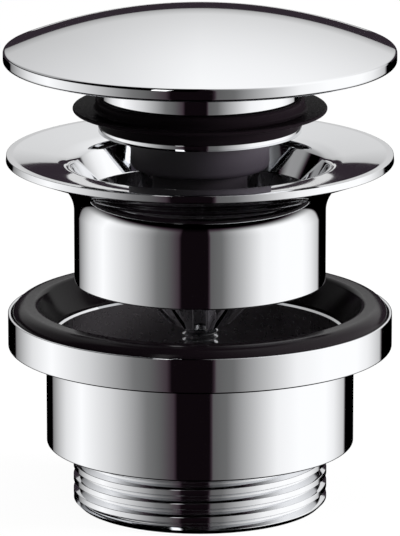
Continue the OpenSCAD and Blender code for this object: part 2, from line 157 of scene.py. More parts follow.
def smooth(piece, angle=35):
    """Smooth shading up to an angle, with normals that favour the broad faces."""
    bpy.ops.object.select_all(action="DESELECT")
    piece.select_set(True)
    bpy.context.view_layer.objects.active = piece
    bpy.ops.object.shade_smooth_by_angle(angle=math.radians(angle))
    apply_modifier(piece, "WEIGHTED_NORMAL", keep_sharp=True)


def place(piece, body, stands_for, material):
    """Gives a finished piece its finish, its body and the node that it stands for."""
    piece.data.materials.clear()
    piece.data.materials.append(material)
    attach(piece, body)
    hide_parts(stands_for)
    size = piece.dimensions / MM
    print(piece.name, len(piece.data.polygons), "faces", [round(x, 1) for x in size], "mm")


# %% [markdown]
# Finishes come next. Each one starts from a real material. Colours are written as sRGB hex values,
# and one function turns them to the linear values that the shader wants. One small function adds a
# node, and patterns are sized in millimetres from Object coordinates, which are metres here.

# %% Finish tools
# Noise seldom leaves this range, so it is spread from there
NOISE_LOW = 0.3
NOISE_HIGH = 0.7


def colour(code):
    """Linear colour of an sRGB hex value."""
    parts = [int(code[i : i + 2], 16) / 255 for i in (1, 3, 5)]
    linear = [c / 12.92 if c <= 0.04045 else ((c + 0.055) / 1.055) ** 2.4 for c in parts]
    return (*linear, 1)


def add(tree, kind, settings=None, inputs=None, stops=()):
    """Adds a node with its settings, its values or links, and the stops of a ramp."""
    node = tree.nodes.new(kind)
    for key, value in (settings or {}).items():
        setattr(node, key, value)
    for key, value in (inputs or {}).items():
        if isinstance(value, bpy.types.NodeSocket):
            tree.links.new(value, node.inputs[key])
        else:
            node.inputs[key].default_value = value
    for index, (where, shade) in enumerate(stops):
        if index < 2:
            stop = node.color_ramp.elements[index]
        else:
            stop = node.color_ramp.elements.new(where)
        stop.position = where
        stop.color = (shade, shade, shade, 1)
    return node


def new_material(name, **surface):
    """A material with one principled shader, its node tree, the shader and Object coordinates."""
    material = bpy.data.materials.new(name)
    material.use_nodes = True
    tree = material.node_tree
    shader = tree.nodes["Principled BSDF"]
    for key, value in surface.items():
        shader.inputs[key.replace("_", " ")].default_value = value
    place_on_piece = add(tree, "ShaderNodeTexCoord").outputs["Object"]
    return material, tree, shader, place_on_piece


def vary(tree, shader, socket, place_on_piece, size, low, high, detail=2.0):
    """Lets one shader value wander between two levels in patches of a size in millimetres."""
    noise = add(
        tree,
        "ShaderNodeTexNoise",
        inputs={"Vector": place_on_piece, "Scale": 1 / (size * MM), "Detail": detail},
    )
    spread = add(
        tree,
        "ShaderNodeMapRange",
        inputs={"Value": noise.outputs["Fac"], 1: NOISE_LOW, 2: NOISE_HIGH, 3: low, 4: high},
    )
    tree.links.new(spread.outputs["Result"], shader.inputs[socket])
    return noise


# %% [markdown]
# Chrome plating on polished brass is a mirror with a faint cold tint. What the eye sees is the room
# in it, so its colour is nearly white, it is fully metallic, and only its roughness wanders a little,
# in patches the size of a fingertip, as handling and rinsing leave it.

# %% Chrome finishes
CHROME_TINT = "#E8E9EB"

chrome, tree, shader, spot = new_material(
    "polished chrome plate", Base_Color=colour(CHROME_TINT), Metallic=1.0
)
vary(tree, shader, "Roughness", spot, size=9, low=0.025, high=0.05)

# The thread is cut before plating, so its mirror is a little duller.
cut_chrome, tree, shader, spot = new_material(
    "cut chrome thread", Base_Color=colour(CHROME_TINT), Metallic=1.0
)
vary(tree, shader, "Roughness", spot, size=3, low=0.05, high=0.09)

# Inside the body and the cup the chrome is darker and duller: the darker colour is painted shade for the
# inside, where little light reaches.
shaded_casting, tree, shader, spot = new_material(
    "shaded casting", Base_Color=colour("#777377"), Metallic=0.8
)
vary(tree, shader, "Roughness", spot, size=0.8, low=0.25, high=0.35)
print("chrome finishes", chrome.name, cut_chrome.name, shaded_casting.name)

# %% [markdown]
# The seal and the gasket are moulded synthetic rubber: black, soft to the light, with a satin skin
# that shows broad dim highlights. The gasket's skin is the smoother one and has a clear sheen on its
# crown. The mould leaves a fine grain, drawn here a little coarser than life so that it shows.

# %% Rubber finishes
RUBBER_GRAIN = 0.5
RUBBER_RELIEF = 0.01
RUBBER_BUMP = 0.1


def rubber(name, shade, low, high, shine):
    """Moulded black rubber with a satin skin."""
    made, tree, shader, spot = new_material(name, Base_Color=colour(shade), Specular_IOR_Level=shine)
    noise = vary(tree, shader, "Roughness", spot, RUBBER_GRAIN, low, high, detail=4.0)
    relief = {"Height": noise.outputs["Fac"], "Distance": RUBBER_RELIEF * MM, "Strength": RUBBER_BUMP}
    bump = add(tree, "ShaderNodeBump", inputs=relief)
    tree.links.new(bump.outputs["Normal"], shader.inputs["Normal"])
    return made


seal_rubber = rubber("moulded seal rubber", "#0E0A0D", low=0.26, high=0.34, shine=0.012)
gasket_rubber = rubber("moulded gasket rubber", "#0C080B", low=0.13, high=0.19, shine=0.12)
print("rubber finishes", seal_rubber.name, gasket_rubber.name)

# %% [markdown]
# The sleeve, the post and the bush are injection moulded. Each has the faint mottle of a spark eroded
# mould, and the colours run from charcoal to the off-white of natural acetal.

# %% Plastic finishes
PLASTIC_IOR = 1.52
MOULD_GRAIN = 0.35
MOULD_RELIEF = 0.015
MOULD_BUMP = 0.25


def moulded(name, shade, low, high):
    """Injection moulded plastic with a fine spark eroded grain."""
    made, tree, shader, spot = new_material(name, Base_Color=colour(shade), IOR=PLASTIC_IOR)
    noise = vary(tree, shader, "Roughness", spot, MOULD_GRAIN, low, high, detail=3.0)
    relief = {"Height": noise.outputs["Fac"], "Distance": MOULD_RELIEF * MM, "Strength": MOULD_BUMP}
    bump = add(tree, "ShaderNodeBump", inputs=relief)
    tree.links.new(bump.outputs["Normal"], shader.inputs["Normal"])
    return made


sleeve_plastic = moulded("charcoal moulded plastic", "#28242A", low=0.46, high=0.54)
post_plastic = moulded("black moulded plastic", "#242025", low=0.46, high=0.54)
acetal = moulded("natural acetal", "#E6E2D6", low=0.3, high=0.42)
print("plastic finishes", sleeve_plastic.name, post_plastic.name, acetal.name)

# %% [markdown]
# Small inner parts are bare metal or fibre: brass for the rod and the nut, stainless steel for the
# screw, spring and clips, and a brick red fibre washer with visible flecks.

# %% Small part finishes
FLECK = 0.6
TOOL_MARK = 0.8


def bare_metal(name, shade, low, high):
    """Machined metal whose roughness wanders in fine patches."""
    made, tree, shader, spot = new_material(name, Base_Color=colour(shade), Metallic=1.0)
    vary(tree, shader, "Roughness", spot, TOOL_MARK, low, high, detail=3.0)
    return made


brass = bare_metal("machined brass", "#CBAE6A", low=0.18, high=0.3)
steel = bare_metal("stainless steel", "#C4C5C7", low=0.16, high=0.28)

fibre, tree, shader, spot = new_material("vulcanised fibre", Roughness=0.7)
flecks = add(
    tree,
    "ShaderNodeTexNoise",
    inputs={"Vector": spot, "Scale": 1 / (FLECK * MM), "Detail": 5.0},
)
shades = add(
    tree,
    "ShaderNodeMix",
    {"data_type": "RGBA"},
    {0: flecks.outputs["Fac"], 6: colour("#6A3324"), 7: colour("#9A5A3E")},
)
tree.links.new(shades.outputs[2], shader.inputs["Base Color"])
print("small part finishes", brass.name, steel.name, fibre.name)

# %% [markdown]
# The cap is a pressed dome with a short upright rim. Its outside is part of a large sphere, so the
# dome's radius and the rim's height fix it. It could be a squashed sphere primitive, but an outline
# gives the rim its two small roundings and the hollow inside with the boss that the rod screws into.

# %% Plug cap
DOME_R = 85.0
CAP_WALL = 2.0
RIM_WALL = 1.7
RIM_EDGE = 0.6
DOME_STOP = 0.5
BOSS_R = 16.05
STUD_R = 4.05
STUD_ROOF = 1.6
WASHER = 0.4

dome_centre = cap_top - DOME_R
inner_dome = DOME_R - CAP_WALL
boss_face = carrier_top + WASHER


def dome_angle(radius, x):
    """Angle on a sphere of that radius, in degrees, at a distance x from the axis."""
    return math.degrees(math.acos(x / radius))


rim_angle = dome_angle(DOME_R, cap_r)
rim_corner = dome_centre + DOME_R * math.sin(math.radians(rim_angle))
rim_in = cap_r - RIM_WALL
inner_rim = dome_angle(inner_dome, rim_in)
inner_boss = dome_angle(inner_dome, BOSS_R)
cap_outline = [
    *arc(0, dome_centre, DOME_R, 90, dome_angle(DOME_R, cap_r - DOME_STOP), step=0.75),
    *corner(cap_r, rim_corner, RIM_EDGE, rim_angle, 0, step=6),
    *corner(cap_r, cap_bottom, RIM_EDGE, 0, -90, step=9),
    (rim_in, cap_bottom),
    *arc(0, dome_centre, inner_dome, inner_rim, inner_boss, step=1),
    (BOSS_R, boss_face),
    (STUD_R, boss_face),
    (STUD_R, cap_top - STUD_ROOF),
    (0, cap_top - STUD_ROOF),
]
cap = turn("plug_cap_dome", cap_outline, closed=False)
smooth(cap)
place(cap, "plug", "plug_cap", chrome)

# %% [markdown]
# Under the cap sits the collar. It is turned from one bar: an upper drum, a deep groove that holds the
# seal's inner edge, and a wider lower ring with a soft edge. Stacked cylinders would leave seams where
# the real one has none, so one outline follows what a lathe tool would cut.

# %% Seal carrier
COLLAR_R = 16.35
GROOVE_R = 13.4
RING = 1.0
SLEEVE_FIT = 0.1
EDGE = 0.3

carrier_outline = [
    (sleeve_r + SLEEVE_FIT, carrier_bottom),
    *corner(retainer_r, carrier_bottom, EDGE / 4, -90, 0),
    *corner(retainer_r, carrier_bottom + RING, EDGE / 3, 0, 90),
    (GROOVE_R, seal_bottom),
    (GROOVE_R, seal_top),
    *corner(COLLAR_R, seal_top, EDGE, -90, 0),
    *corner(COLLAR_R, carrier_top, EDGE, 0, 90),
    (STUD_R, carrier_top),
    (STUD_R, sleeve_top),
    (sleeve_r + SLEEVE_FIT, sleeve_top),
]
carrier = turn("seal_carrier_collar", carrier_outline)
smooth(carrier)
place(carrier, "plug", "seal_carrier", chrome)

# %% [markdown]
# The seal is a moulded ring with a thin lip that spreads like a saucer and closes on the funnel. A
# torus would be as thick as it is wide, so the seal is turned too. The outline goes down the groove, out
# under the lip, round its edge and back over the dished top to a rounded bead that hugs the collar.

# %% Lip seal
LIP_EDGE = 0.3
LIP_RISE = 2.45
LIP_FILLET = 0.9
LIP_SAG = 0.2
LIP_UNDER = 115
LIP_TIP = -70
BEAD = 0.6
BEAD_OVER = 0.45
SEAL_FIT = 0.05

lip_z = seal_bottom + LIP_RISE
bead_out = retainer_r + BEAD_OVER
seal_outline = [
    (GROOVE_R + SEAL_FIT, seal_bottom),
    *corner(retainer_r, seal_bottom, EDGE / 2, -90, 0, step=30),
    *arc(retainer_r + LIP_FILLET, lip_z - LIP_FILLET - LIP_SAG, LIP_FILLET, 180, LIP_UNDER, step=9),
    *arc(lip_r - LIP_EDGE, lip_z + LIP_EDGE, LIP_EDGE, LIP_TIP, 90, step=20),
    *arc(bead_out + BEAD, lip_z + LIP_EDGE + BEAD, BEAD, 270, 180, step=15),
    *corner(bead_out, seal_top, BEAD, 0, 90),
    (GROOVE_R + SEAL_FIT, seal_top),
]
seal = turn("lip_seal_ring", seal_outline)
smooth(seal, angle=60)
place(seal, "plug", "lip_seal", seal_rubber)

# %% [markdown]
# The flange and cup are one casting. From the cup's lower edge the outside rises straight, flares out
# under the flange, turns round its rim, crosses a narrow flat land, falls gently inwards as a shallow
# dish, rolls over a soft lead-in and drops into the steep funnel. Flat cones would give the form but not
# the reflections: the dish tips the flange's mirror and decides what it shows.

# %% Flange and cup
CUP_R = 20.65
CUP_WALL = 1.95
CUP_HEIGHT = 21.4
FLARE_R = 6.0
FLARE_DROP = 3.5
UNDER_SLOPE = 22.0
FLANGE_RIM = 1.15
RIM_ROUND = 0.2
RIM_LEAN = 5.0
RIM_LAND = 1.2
LAND_BLEND = 3.0
DISH_DEPTH = 1.2
DISH_R = 138.0
LEAD_W = 1.6
LEAD_SLOPE = 22.0
LEAD_ROUND = 6.0
FUNNEL_W = 2.4
FUNNEL_SLOPE = 64.5
FUNNEL_EDGE = 2.0

cup_in = CUP_R - CUP_WALL
cup_bottom = flange_top - CUP_HEIGHT
land_x = flange_r - RIM_LAND
rim_x = flange_r - FLANGE_RIM * math.tan(math.radians(RIM_LEAN))
funnel_x = cup_in + FUNNEL_W
funnel_top = flange_top - DISH_DEPTH
dish_fall = math.degrees(math.atan2(DISH_DEPTH, land_x - funnel_x))
dish_bow = math.degrees(math.asin(math.hypot(land_x - funnel_x, DISH_DEPTH) / 2 / DISH_R))
dish_in = 90 + dish_fall + dish_bow
dish_out = 90 + dish_fall - dish_bow
dish_x = funnel_x - DISH_R * math.cos(math.radians(dish_in))
dish_z = funnel_top - DISH_R * math.sin(math.radians(dish_in))
lead_x = funnel_x + LEAD_W
lead_z = dish_z + math.sqrt(DISH_R**2 - (lead_x - dish_x) ** 2)
lead_in = math.degrees(math.acos((lead_x - dish_x) / DISH_R))
trim = math.degrees(LEAD_ROUND * math.tan(math.radians(90 + LEAD_SLOPE - lead_in) / 2) / DISH_R)
edge_z = lead_z - LEAD_W * math.tan(math.radians(LEAD_SLOPE))
funnel_bottom = edge_z - FUNNEL_W * math.tan(math.radians(FUNNEL_SLOPE))
flange_outline = [
    (cup_in + EDGE, cup_bottom),
    *corner(CUP_R, cup_bottom, EDGE, -90, 0),
    *arc(CUP_R + FLARE_R, flange_top - FLARE_DROP - FLARE_R, FLARE_R, 180, 90 + UNDER_SLOPE, step=3),
    *corner(flange_r, flange_top - FLANGE_RIM, RIM_ROUND, UNDER_SLOPE - 90, RIM_LEAN, step=9),
    *corner(rim_x, flange_top, RIM_ROUND / 2, RIM_LEAN, 90),
    *corner(land_x, flange_top, LAND_BLEND, 90, dish_out, step=1),
    *arc(dish_x, dish_z, DISH_R, dish_out + trim / 2, lead_in - trim, step=0.4),
    *corner(lead_x, lead_z, LEAD_ROUND, lead_in, 90 + LEAD_SLOPE, step=1.5),
    *corner(funnel_x, edge_z, FUNNEL_EDGE, 90 + LEAD_SLOPE, 90 + FUNNEL_SLOPE, step=6),
    *corner(cup_in, funnel_bottom, 2 * EDGE, 90 + FUNNEL_SLOPE, 180, step=5),
    (cup_in, cup_bottom + EDGE),
]
bell = turn("flange_cup_bell", flange_outline)
smooth(bell)
place(bell, "flange", "flange_cup", chrome)

# %% [markdown]
# Four thin webs cross the cup and carry a centre hub. Their lower edges slope down to the hub's tip.
# Four separate webs could be placed round the hub, but two plates that cross need only one drawing:
# a plate is drawn as an outline, filled, given its thickness and softened, then copied and turned a
# quarter round. A turned hub is welded on, and one turned cutter makes the screw's hole, the pocket for
# its head and the seat of the post's spigot.

# %% Cup spider
WEB = 2.6
WEB_SOFT = 0.35
WEB_SUNK = 0.6
WEB_RISE = 5.4
WEB_TIP = 4.6
HUB_R = 7.9
HUB_PROUD = 0.01
TIP_R = 3.6
TIP_EDGE = 0.3
HUB_TOP = 15.3
POCKET_R = 5.4
POCKET_FLOOR = 3.1
SPIGOT_R = 6.05
SPIGOT_ROOM = 0.2
SCREW_R = 3.0
SCREW_ROOM = 0.3
POST_ROOM = 12.3
POST_STEP = 1.2
OVERCUT = 1.0
SHADED_TILT = -0.2

web_end = cup_in + WEB_SUNK
hub_top = hub_tip + HUB_TOP
shaded_from = hub_tip + HUB_TOP / 2
screw_hole = SCREW_R + SCREW_ROOM
spigot_seat = spigot_bottom - SPIGOT_ROOM


def plate(name, outline, thickness, soft):
    """An upright plate across the axis, with softened edges."""
    piece = draw(name, outline)
    bpy.ops.mesh.select_all(action="SELECT")
    bpy.ops.mesh.edge_face_add()
    bpy.ops.transform.translate(value=(0, -thickness / 2 * MM, 0))
    bpy.ops.mesh.extrude_region_move(TRANSFORM_OT_translate={"value": (0, thickness * MM, 0)})
    clean()
    bpy.ops.object.mode_set(mode="OBJECT")
    apply_modifier(piece, "BEVEL", width=soft * MM, segments=3, limit_method="ANGLE")
    return piece


def quarter_copy(piece):
    """A copy with its own mesh, turned a quarter round the axis."""
    bpy.ops.object.select_all(action="DESELECT")
    piece.select_set(True)
    bpy.context.view_layer.objects.active = piece
    bpy.ops.object.duplicate(linked=False)
    bpy.ops.transform.rotate(value=math.pi / 2, orient_axis="Z", center_override=(0, 0, 0))
    bpy.ops.object.transform_apply(location=True, rotation=True, scale=True)
    return bpy.context.object


def weld(piece, other, operation="UNION"):
    """Joins another piece to this one, or cuts it away, and removes it and any slivers."""
    bpy.ops.object.select_all(action="DESELECT")
    piece.select_set(True)
    apply_modifier(piece, "BOOLEAN", operation=operation, solver="EXACT", object=other)
    bpy.data.objects.remove(other)
    bpy.context.view_layer.objects.active = piece
    bpy.ops.object.mode_set(mode="EDIT")
    bpy.ops.mesh.select_all(action="SELECT")
    bpy.ops.mesh.dissolve_degenerate(threshold=SEAM)
    clean()
    bpy.ops.object.mode_set(mode="OBJECT")


def second_finish(piece, material, chosen):
    """Gives another finish to the faces chosen by radius, height in millimetres and upward tilt."""
    piece.data.materials.append(material)
    for face in piece.data.polygons:
        middle = face.center / MM
        if chosen(math.hypot(middle.x, middle.y), middle.z, face.normal.z):
            face.material_index = 1


web_outline = [
    (-web_end, hub_tip - WEB_TIP + web_end),
    (-WEB_TIP, hub_tip),
    (WEB_TIP, hub_tip),
    (web_end, hub_tip - WEB_TIP + web_end),
    (web_end, hub_top + WEB_RISE),
    (POST_ROOM, hub_top + POST_STEP),
    (POST_ROOM, hub_top),
    (-POST_ROOM, hub_top),
    (-POST_ROOM, hub_top + POST_STEP),
    (-web_end, hub_top + WEB_RISE),
]
hub_outline = [
    (0, hub_tip),
    (TIP_R + TIP_EDGE, hub_tip),
    (HUB_R, hub_tip + HUB_R - TIP_R),
    (HUB_R, hub_top + HUB_PROUD),
    (0, hub_top + HUB_PROUD),
]
bore_outline = [
    (0, hub_tip - OVERCUT),
    (screw_hole, hub_tip - OVERCUT),
    (screw_hole, hub_tip + POCKET_FLOOR),
    (POCKET_R, hub_tip + POCKET_FLOOR),
    (POCKET_R, spigot_seat),
    (SPIGOT_R, spigot_seat),
    (SPIGOT_R, hub_top + OVERCUT),
    (0, hub_top + OVERCUT),
]
spider = plate("flange_cup_spider", web_outline, WEB, WEB_SOFT)
weld(spider, quarter_copy(spider))
weld(spider, turn("hub", hub_outline, closed=False))
weld(spider, turn("hub_bore", bore_outline, closed=False), "DIFFERENCE")
smooth(spider)
place(spider, "flange", "flange_cup", chrome)
# Faces of the upper webs and hub that don't face steeply down get the darker casting: painted shade
# inside the cup.
second_finish(spider, shaded_casting, lambda x, z, up: up > SHADED_TILT and z > shaded_from)

# %% [markdown]
# The lower body is a chrome casting: a wide ring with a thin lip round the gasket, a plain barrel and
# a threaded tail. The shell is turned first and without the tail, because a thread climbs and can't be
# spun. Its floor carries the gasket, and below the barrel it narrows to the tail's bore.

# %% Body shell
BARREL_R = 25.35
BARREL_WALL = 1.55
BARREL_BOTTOM = 10.2
BARREL_HEIGHT = 16.3
TAIL_BORE = 18.2
LIP_WALL = 0.55
CONE_STEP = 1.2
LEDGE = 0.3
BODY_EDGE = 0.39
SHADED_REACH = 0.1

barrel_in = BARREL_R - BARREL_WALL
ring_bottom = BARREL_BOTTOM + BARREL_HEIGHT
shell_outline = [
    (TAIL_BORE, BARREL_BOTTOM),
    *corner(BARREL_R, BARREL_BOTTOM, BODY_EDGE, -90, 0),
    (BARREL_R, ring_bottom),
    *corner(ring_r, ring_bottom, BODY_EDGE, -90, 0),
    *corner(ring_r, ring_top, EDGE / 2, 0, 90),
    *corner(ring_r - LIP_WALL, ring_top, EDGE / 2, 90, 180, step=30),
    (ring_r - LIP_WALL, gasket_bottom),
    (barrel_in + LEDGE, gasket_bottom),
    (barrel_in, gasket_bottom - LEDGE),
    (barrel_in, BARREL_BOTTOM + CONE_STEP + barrel_in - TAIL_BORE),
    (TAIL_BORE, BARREL_BOTTOM + CONE_STEP),
]
shell = turn("waste_body_shell", shell_outline)
smooth(shell)
place(shell, "lower_body", "waste_body", chrome)
# The barrel's inner wall and floor under the gasket get the darker casting: painted shade inside the
# body.
second_finish(shell, shaded_casting, lambda x, z, up: x < barrel_in + SHADED_REACH and z < gasket_bottom)

# %% [markdown]
# The tail has a real pipe thread, 11 turns to the inch, with flattened crests. A bump in the finish
# would leave its outline smooth, so the thread is a mesh: one turn is drawn, a Screw modifier winds it
# right-handed, and two flat cuts trim the ends. Below the thread the tail ends in a plain chamfer. From
# there the bore is drawn up, and a flat ring closes the top.

# %% Threaded tail
PIPE_PITCH = 2.309
PIPE_DEPTH = 1.05
PIPE_CREST = 0.95
PIPE_ROOT = 0.26
CREST_EDGE = 0.12
PIPE_STEPS = 144
TAIL_R = 20.955
TAIL_CHAMFER = 0.75
LEVEL = 0.001
CUT_SNAP = 1e-7
LEAD_TURNS = 1.5
SPARE_TURNS = 3


def thread(name, radius, depth, pitch, crest, root, bottom, top, steps):
    """An open screw surface between two heights, cut flat at both ends and left in edit mode."""
    start = bottom - LEAD_TURNS * pitch
    flank = (pitch - crest - root) / 2
    lean = math.degrees(math.atan2(depth, flank))
    edge = CREST_EDGE * pitch / PIPE_PITCH
    ridge = [
        (radius - depth, start),
        (radius - depth, start + root / 2),
        *corner(radius, start + root / 2 + flank, edge, -lean, 0),
        *corner(radius, start + root / 2 + flank + crest, edge, 0, lean),
        (radius - depth, start + pitch - root / 2),
        (radius - depth, start + pitch),
    ]
    piece = draw(name, ridge)
    bpy.ops.object.mode_set(mode="OBJECT")
    apply_modifier(
        piece,
        "SCREW",
        axis="Z",
        angle=2 * math.pi,
        screw_offset=pitch * MM,
        iterations=math.ceil((top - bottom) / pitch) + SPARE_TURNS,
        steps=steps,
        render_steps=steps,
        use_merge_vertices=True,
        merge_threshold=SEAM,
    )
    bpy.ops.object.mode_set(mode="EDIT")
    for height, side in ((bottom, -1), (top, 1)):
        bpy.ops.mesh.select_all(action="SELECT")
        bpy.ops.mesh.bisect(
            plane_co=(0, 0, height * MM), plane_no=(0, 0, side), clear_outer=True, threshold=CUT_SNAP
        )
    return piece


def select_edge(piece, height):
    """Selects the open edges at a height, in edit mode."""
    bpy.ops.mesh.select_all(action="DESELECT")
    bpy.ops.object.mode_set(mode="OBJECT")
    for vertex in piece.data.vertices:
        vertex.select = abs(vertex.co.z / MM - height) < LEVEL
    bpy.ops.object.mode_set(mode="EDIT")


def set_radius(piece, radius):
    """Moves the selected vertices to one distance from the axis."""
    bpy.ops.object.mode_set(mode="OBJECT")
    for vertex in piece.data.vertices:
        if vertex.select:
            now = math.hypot(vertex.co.x, vertex.co.y)
            vertex.co.x *= radius * MM / now
            vertex.co.y *= radius * MM / now
    bpy.ops.object.mode_set(mode="EDIT")


def fill_ring(piece, height, hole):
    """Fills the flat between the open edges at a height, and opens the hole of that radius again."""
    select_edge(piece, height)
    bpy.ops.mesh.fill(use_beauty=True)
    bpy.ops.mesh.select_mode(type="FACE")
    bpy.ops.mesh.select_all(action="DESELECT")
    bpy.ops.object.mode_set(mode="OBJECT")
    for face in piece.data.polygons:
        middle = face.center / MM
        is_flat = middle.z > height - LEVEL
        face.select = is_flat and math.hypot(middle.x, middle.y) < hole
    bpy.ops.object.mode_set(mode="EDIT")
    bpy.ops.mesh.delete(type="FACE")
    bpy.ops.mesh.select_mode(type="VERT")


thread_start = tail_bottom + TAIL_CHAMFER
tail = thread(
    "waste_body_tail",
    TAIL_R,
    PIPE_DEPTH,
    PIPE_PITCH,
    PIPE_CREST,
    PIPE_ROOT,
    thread_start,
    BARREL_BOTTOM,
    PIPE_STEPS,
)
select_edge(tail, thread_start)
bpy.ops.mesh.extrude_edges_move()
set_radius(tail, TAIL_R)
bpy.ops.mesh.extrude_edges_move(TRANSFORM_OT_translate={"value": (0, 0, -TAIL_CHAMFER * MM)})
set_radius(tail, TAIL_R - TAIL_CHAMFER)
bpy.ops.mesh.extrude_edges_move()
set_radius(tail, TAIL_BORE)
bore_length = BARREL_BOTTOM - tail_bottom
bpy.ops.mesh.extrude_edges_move(TRANSFORM_OT_translate={"value": (0, 0, bore_length * MM)})
fill_ring(tail, BARREL_BOTTOM, TAIL_BORE)
clean()
bpy.ops.object.mode_set(mode="OBJECT")
smooth(tail, angle=50)
place(tail, "lower_body", "waste_body", cut_chrome)

# %% [markdown]
# Inside the barrel a cross of four arms holds the hub with the nut. It is the same kind of plate as
# the cup's webs, with a turned hub that has a hexagonal pocket from below.

# %% Body cross
ARM_BOTTOM = 12.0
ARM_TOP = 19.5
ARM_SUNK = 0.3
HUB_FOOT = 0.4
HUB_HEAD = 0.6
BODY_HUB_R = 7.2
BODY_HUB_BOTTOM = 10.9
BODY_HUB_TOP = 20.0
NUT_FLATS = 10.1
NUT_POCKET = 5.4

arm_end = barrel_in + ARM_SUNK
arm_outline = [(-arm_end, ARM_BOTTOM), (arm_end, ARM_BOTTOM), (arm_end, ARM_TOP), (-arm_end, ARM_TOP)]
body_hub_outline = [
    (0, BODY_HUB_BOTTOM),
    *arc(BODY_HUB_R - HUB_FOOT, BODY_HUB_BOTTOM + HUB_FOOT, HUB_FOOT, -90, 0, step=15),
    *arc(BODY_HUB_R - HUB_HEAD, BODY_HUB_TOP - HUB_HEAD, HUB_HEAD, 0, 90, step=15),
    (0, BODY_HUB_TOP),
]
screw_way = [
    (0, BODY_HUB_BOTTOM - OVERCUT),
    (screw_hole, BODY_HUB_BOTTOM - OVERCUT),
    (screw_hole, BODY_HUB_TOP + OVERCUT),
    (0, BODY_HUB_TOP + OVERCUT),
]


def hexagon(name, flats, bottom, top):
    """A six sided block for a nut's pocket or a screw's socket."""
    bpy.ops.object.select_all(action="DESELECT")
    bpy.ops.mesh.primitive_cylinder_add(
        vertices=6,
        radius=flats / 2 / math.cos(math.pi / 6) * MM,
        depth=(top - bottom) * MM,
        location=(0, 0, (top + bottom) / 2 * MM),
        rotation=(0, 0, math.pi / 6),
    )
    bpy.ops.object.transform_apply(location=True, rotation=True, scale=True)
    bpy.context.object.name = name
    return bpy.context.object


cross = plate("waste_body_cross", arm_outline, WEB, WEB_SOFT)
weld(cross, quarter_copy(cross))
weld(cross, turn("body_hub", body_hub_outline, closed=False))
weld(cross, turn("screw_way", screw_way, closed=False), "DIFFERENCE")
nut_roof = BODY_HUB_BOTTOM + NUT_POCKET
weld(cross, hexagon("nut_pocket", NUT_FLATS, BODY_HUB_BOTTOM - OVERCUT, nut_roof), "DIFFERENCE")
smooth(cross)
# The whole cross gets the darker casting: painted shade inside the barrel.
place(cross, "lower_body", "waste_body", shaded_casting)

# %% [markdown]
# The gasket lies in the ring and stands a little proud, so that it meets the basin first. A torus would
# have the same curve all round. The real crown is a soft roll with a tighter inner shoulder, and its
# inside slopes down to the barrel, so it is turned from an outline.

# %% Body gasket
CROWN_OUT = 2.2
CROWN_IN = 1.0
CROWN_W = 3.6
CROWN_END = 160
FOOT = 0.6
GASKET_FIT = 0.05

gasket_in = barrel_in + LEDGE + GASKET_FIT
gasket_outline = [
    (gasket_in, gasket_bottom),
    (gasket_r, gasket_bottom),
    *corner(gasket_r, gasket_top, CROWN_OUT, 0, 90, step=6),
    *arc(gasket_r - CROWN_W, gasket_top - CROWN_IN, CROWN_IN, 90, CROWN_END),
    (gasket_in, gasket_bottom + FOOT),
]
gasket = turn("body_gasket_ring", gasket_outline)
smooth(gasket, angle=40)
place(gasket, "lower_body", "body_gasket", gasket_rubber)

# %% [markdown]
# The tie screw is a long socket screw with a metric thread of 1 mm pitch. The tool that wound the pipe
# thread only needs other sizes, so it makes the shank, whose open ends are filled. The head is turned
# and gets a hexagonal socket.

# %% Tie screw
METRIC_PITCH = 1.0
METRIC_DEPTH = 0.61
METRIC_CREST = METRIC_PITCH / 8
METRIC_ROOT = METRIC_PITCH / 4
METRIC_STEPS = 48
SHANK_SUNK = 0.2
HEAD_HEIGHT = 4.0
HEAD_CHAMFER = 0.4
SOCKET_FLATS = 4.0
SOCKET_DEPTH = 2.4

head_bottom = head_top - HEAD_HEIGHT
shank_top = head_bottom + SHANK_SUNK
screw = thread(
    "tie_screw_m6",
    SCREW_R,
    METRIC_DEPTH,
    METRIC_PITCH,
    METRIC_CREST,
    METRIC_ROOT,
    screw_bottom,
    shank_top,
    METRIC_STEPS,
)
for height in (screw_bottom, shank_top):
    select_edge(screw, height)
    bpy.ops.mesh.edge_face_add()
clean()
bpy.ops.object.mode_set(mode="OBJECT")
head_outline = [
    (0, head_bottom),
    (head_r, head_bottom),
    (head_r, head_top - HEAD_CHAMFER),
    (head_r - HEAD_CHAMFER, head_top),
    (0, head_top),
]
head = turn("screw_head", head_outline, closed=False)
socket_floor = head_top - SOCKET_DEPTH
weld(head, hexagon("socket", SOCKET_FLATS, socket_floor, head_top + OVERCUT), "DIFFERENCE")
weld(screw, head)
smooth(screw, angle=40)
place(screw, "tie", "tie_screw", steel)

# %% [markdown]
# The return spring is one wire wound round the rod's inside. It could be a curve with a round section,
# but the Screw modifier winds a ring of vertices in one step. The spring shortens when the plug is
# pressed.

# %% Return spring
WIRE_R = 0.4
WIRE_SIDES = 12
COILS = 10
COIL_STEPS = 48

bpy.ops.object.select_all(action="DESELECT")
bpy.ops.mesh.primitive_circle_add(
    vertices=WIRE_SIDES,
    radius=WIRE_R * MM,
    fill_type="NOTHING",
    location=((spring_r - WIRE_R) * MM, 0, (spring_bottom + WIRE_R) * MM),
    rotation=(math.pi / 2, 0, 0),
)
bpy.ops.object.transform_apply(location=True, rotation=True, scale=True)
spring = bpy.context.object
spring.name = "return_spring_coil"
wound = spring_top - spring_bottom - 2 * WIRE_R
apply_modifier(
    spring,
    "SCREW",
    axis="Z",
    angle=2 * math.pi,
    screw_offset=wound / COILS * MM,
    iterations=COILS,
    steps=COIL_STEPS,
    render_steps=COIL_STEPS,
)
bpy.ops.object.mode_set(mode="EDIT")
bpy.ops.mesh.select_all(action="SELECT")
bpy.ops.mesh.select_non_manifold()
bpy.ops.mesh.fill_holes(sides=0)
clean()
bpy.ops.object.mode_set(mode="OBJECT")
smooth(spring, angle=60)
place(spring, "flange", "return_spring", steel)
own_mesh(spring)

# %% [markdown]
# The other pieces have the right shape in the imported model, so they keep their meshes and only get
# their finishes.

